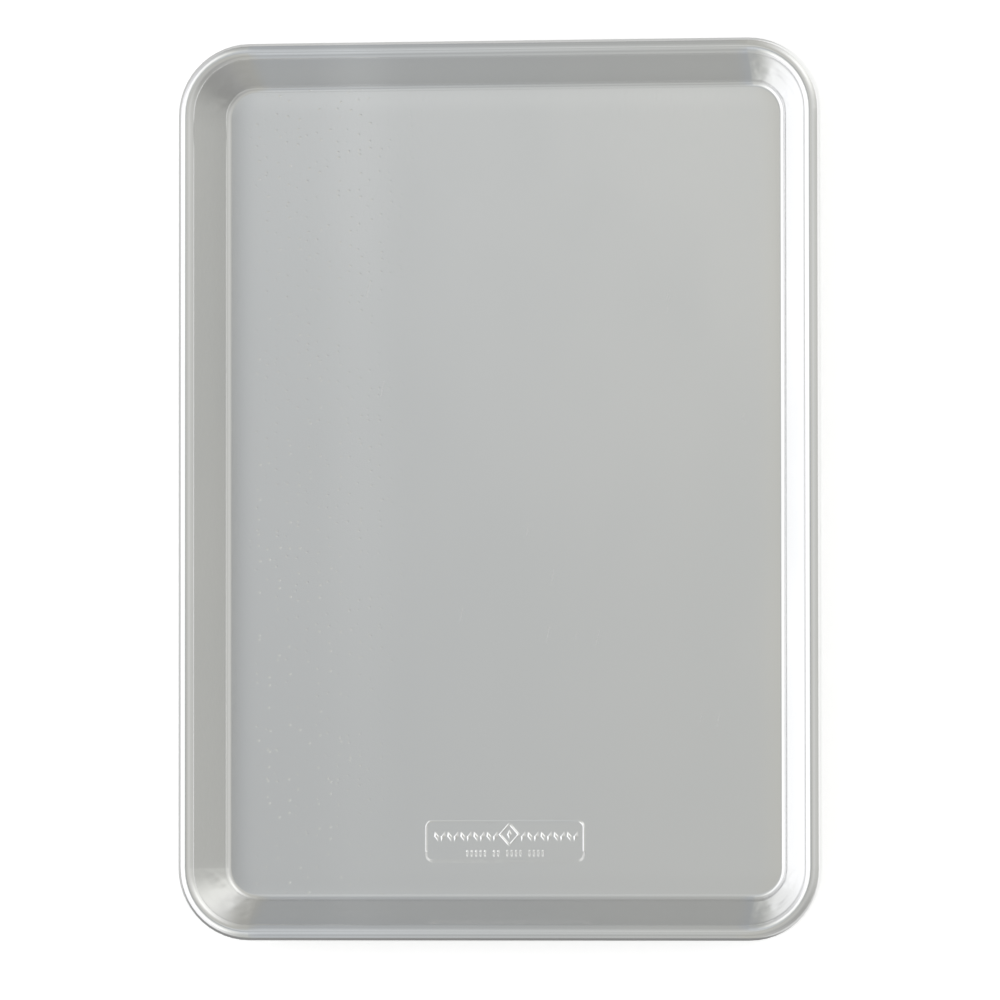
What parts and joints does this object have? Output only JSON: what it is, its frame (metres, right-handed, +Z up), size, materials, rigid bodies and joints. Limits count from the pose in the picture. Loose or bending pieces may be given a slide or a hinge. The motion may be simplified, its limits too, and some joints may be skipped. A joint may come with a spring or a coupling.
{
  "type": "jelly roll pan",
  "caption": "Shallow rectangular baking pan of bare aluminium with a flat floor, sloping walls, round corners and a rim rolled round a steel wire.",
  "frame": {"origin": "middle of the flat underside, where the pan rests on a shelf", "axes": "+Z up out of the open side, +Y along the pan's length, +X along its width"},
  "size_m": [0.288, 0.4, 0.0254],
  "materials": {
    "pan_shell": "bare drawn sheet, satin, rolling grain",
    "rim_wire": "galvanised, dull"
  },
  "bodies": {
    "root": {"pan_shell": "pan_shell", "rim_wire": "rim_wire"}
  },
  "joints": []
}
